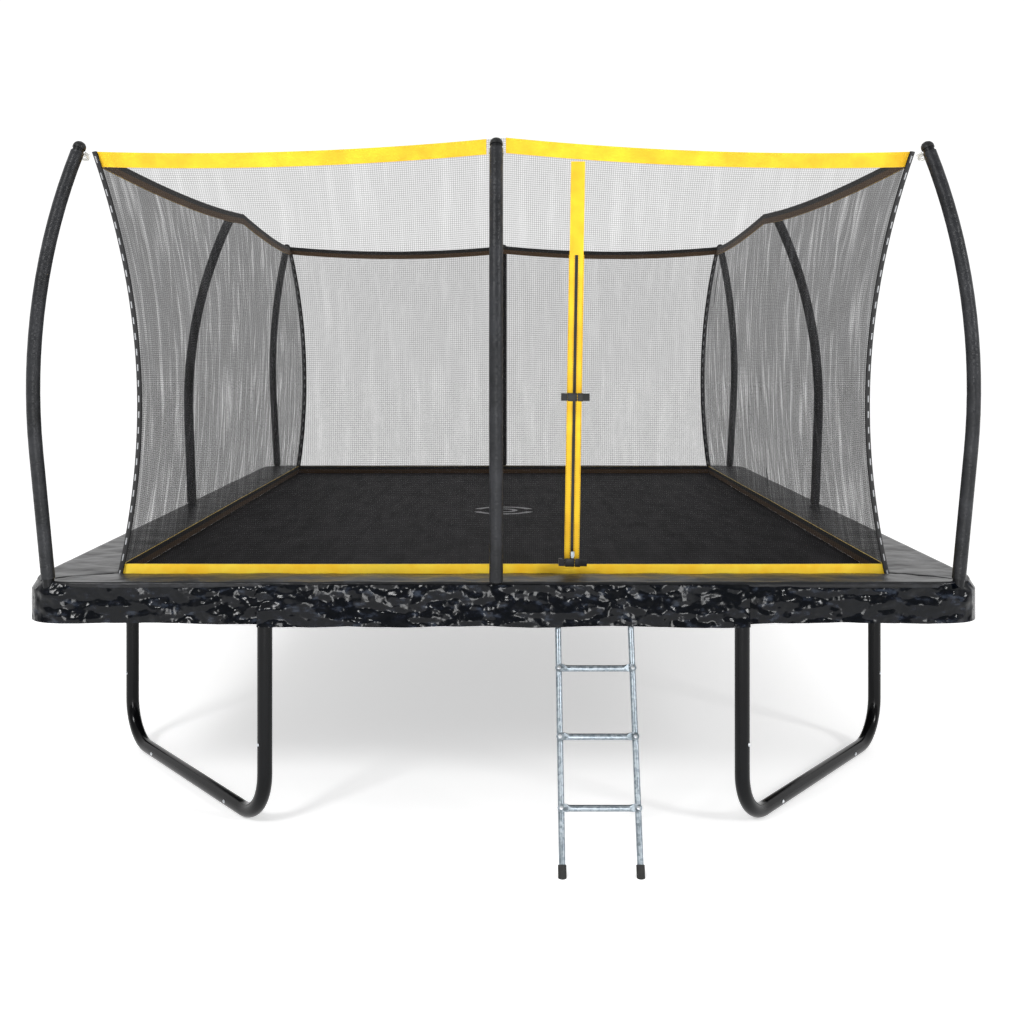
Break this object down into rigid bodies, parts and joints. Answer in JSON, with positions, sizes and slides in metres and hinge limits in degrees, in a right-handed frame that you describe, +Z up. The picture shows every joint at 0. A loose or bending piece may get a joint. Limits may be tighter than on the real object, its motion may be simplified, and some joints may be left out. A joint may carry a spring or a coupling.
{
  "type": "trampoline",
  "caption": "Rectangular garden trampoline with a sprung mat, padded border, curved-pole safety net with a zipped door, and a hook-on ladder.",
  "frame": {"origin": "on the ground under the middle of the whole object, ladder included", "axes": "+X to the right seen from the door, +Y from the door end to the back, +Z up; the door and the ladder face -Y"},
  "size_m": [3.1808, 4.721, 2.311],
  "materials": {
    "black_frame_tube": "glossy black powder coat on steel tube",
    "zinc_screw": "zinc-plated steel",
    "black_pole_tube": "satin black paint on steel tube",
    "foam_sleeve": "dark grey PVC film over foam",
    "black_cap": "moulded black plastic",
    "pad_vinyl": "blue-black coated PVC cloth",
    "net_mesh": "knitted black mesh, see-through",
    "yellow_band": "yellow woven polyester",
    "black_webbing": "black woven webbing",
    "elastic_cord": "braided elastic cord",
    "gold_clip": "bright yellow metal",
    "woven_mat": "tight black woven polypropylene",
    "zinc_spring": "zinc-plated spring steel",
    "galvanised_tube": "galvanised steel tube",
    "rubber_foot": "black rubber",
    "zip_metal": "plain zip metal",
    "black_buckle": "moulded black acetal"
  },
  "bodies": {
    "trampoline": {"corner_tube_front_left": "black_frame_tube", "corner_tube_front_right": "black_frame_tube", "corner_tube_back_left": "black_frame_tube", "corner_tube_back_right": "black_frame_tube", "front_rail": "black_frame_tube", "back_rail": "black_frame_tube", "left_rail_front": "black_frame_tube", "left_rail_back": "black_frame_tube", "right_rail_front": "black_frame_tube", "right_rail_back": "black_frame_tube", "leg_front_left_uprights": "black_frame_tube", "leg_front_right_uprights": "black_frame_tube", "leg_back_left_uprights": "black_frame_tube", "leg_back_right_uprights": "black_frame_tube", "leg_front_left_ground_rail": "black_frame_tube", "leg_front_right_ground_rail": "black_frame_tube", "leg_back_left_ground_rail": "black_frame_tube", "leg_back_right_ground_rail": "black_frame_tube", "leg_elbows": "black_frame_tube", "frame_screws": "zinc_screw", "pole_front_left": "black_pole_tube", "pole_front_middle": "black_pole_tube", "pole_front_right": "black_pole_tube", "pole_right_middle": "black_pole_tube", "pole_back_right": "black_pole_tube", "pole_back_middle": "black_pole_tube", "pole_back_left": "black_pole_tube", "pole_left_middle": "black_pole_tube", "pole_sleeves": "foam_sleeve", "pole_caps": "black_cap", "pole_brackets": "black_frame_tube", "pad_front": "pad_vinyl", "pad_back": "pad_vinyl", "pad_left": "pad_vinyl", "pad_right": "pad_vinyl", "net_front": "net_mesh", "net_back": "net_mesh", "net_left": "net_mesh", "net_right": "net_mesh", "net_top_band": "yellow_band", "net_hem": "yellow_band", "net_corner_tapes": "black_webbing", "net_ties": "elastic_cord", "springs": "zinc_spring", "door_strips": "yellow_band", "door_zip": "black_webbing", "buckle_straps": "black_webbing", "buckle_sockets": "black_buckle"},
    "mat": {"mat": "woven_mat", "mat_rings": "zinc_spring", "net_clips": "gold_clip"},
    "ladder": {"ladder_rail_left": "galvanised_tube", "ladder_rail_right": "galvanised_tube", "ladder_rungs": "galvanised_tube", "ladder_feet": "rubber_foot", "ladder_screws": "zinc_screw"},
    "front_skirt_flap": {"pad_front_flap": "pad_vinyl"},
    "zip_slider": {"zip_slider": "zip_metal"},
    "upper_buckle_tongue": {"upper_buckle_tongue": "black_buckle"},
    "lower_buckle_tongue": {"lower_buckle_tongue": "black_buckle"}
  },
  "joints": [
    {"name": "mat_bounce", "type": "slide", "parent": "trampoline", "child": "mat", "axis": [0, 0, -1], "range_m": [0, 0.25], "stiffness_N_per_m": 3000, "springref_m": -0.1, "deforming": ["springs"]},
    {"name": "ladder_swing", "type": "hinge", "parent": "trampoline", "child": "ladder", "pos_m": [0, -1.96143, 0.78], "axis": [-1, 0, 0], "range_deg": [0, 40]},
    {"name": "front_flap_lift", "type": "hinge", "parent": "trampoline", "child": "front_skirt_flap", "pos_m": [0, -2.03893, 0.8237], "axis": [-1, 0, 0], "range_deg": [0, 53]},
    {"name": "zip_travel", "type": "slide", "parent": "trampoline", "child": "zip_slider", "axis": [0.013, -0.0587, 0.9982], "range_m": [0, 1.016]},
    {"name": "upper_buckle_release", "type": "slide", "parent": "trampoline", "child": "upper_buckle_tongue", "axis": [0.9999, 0.0008, -0.013], "range_m": [0, 0.03]},
    {"name": "lower_buckle_release", "type": "slide", "parent": "trampoline", "child": "lower_buckle_tongue", "axis": [0.9999, 0.0008, -0.013], "range_m": [0, 0.03]}
  ],
  "couplings": [
    {"joint": "front_flap_lift", "follows": "ladder_swing", "ratio": 1.3}
  ]
}
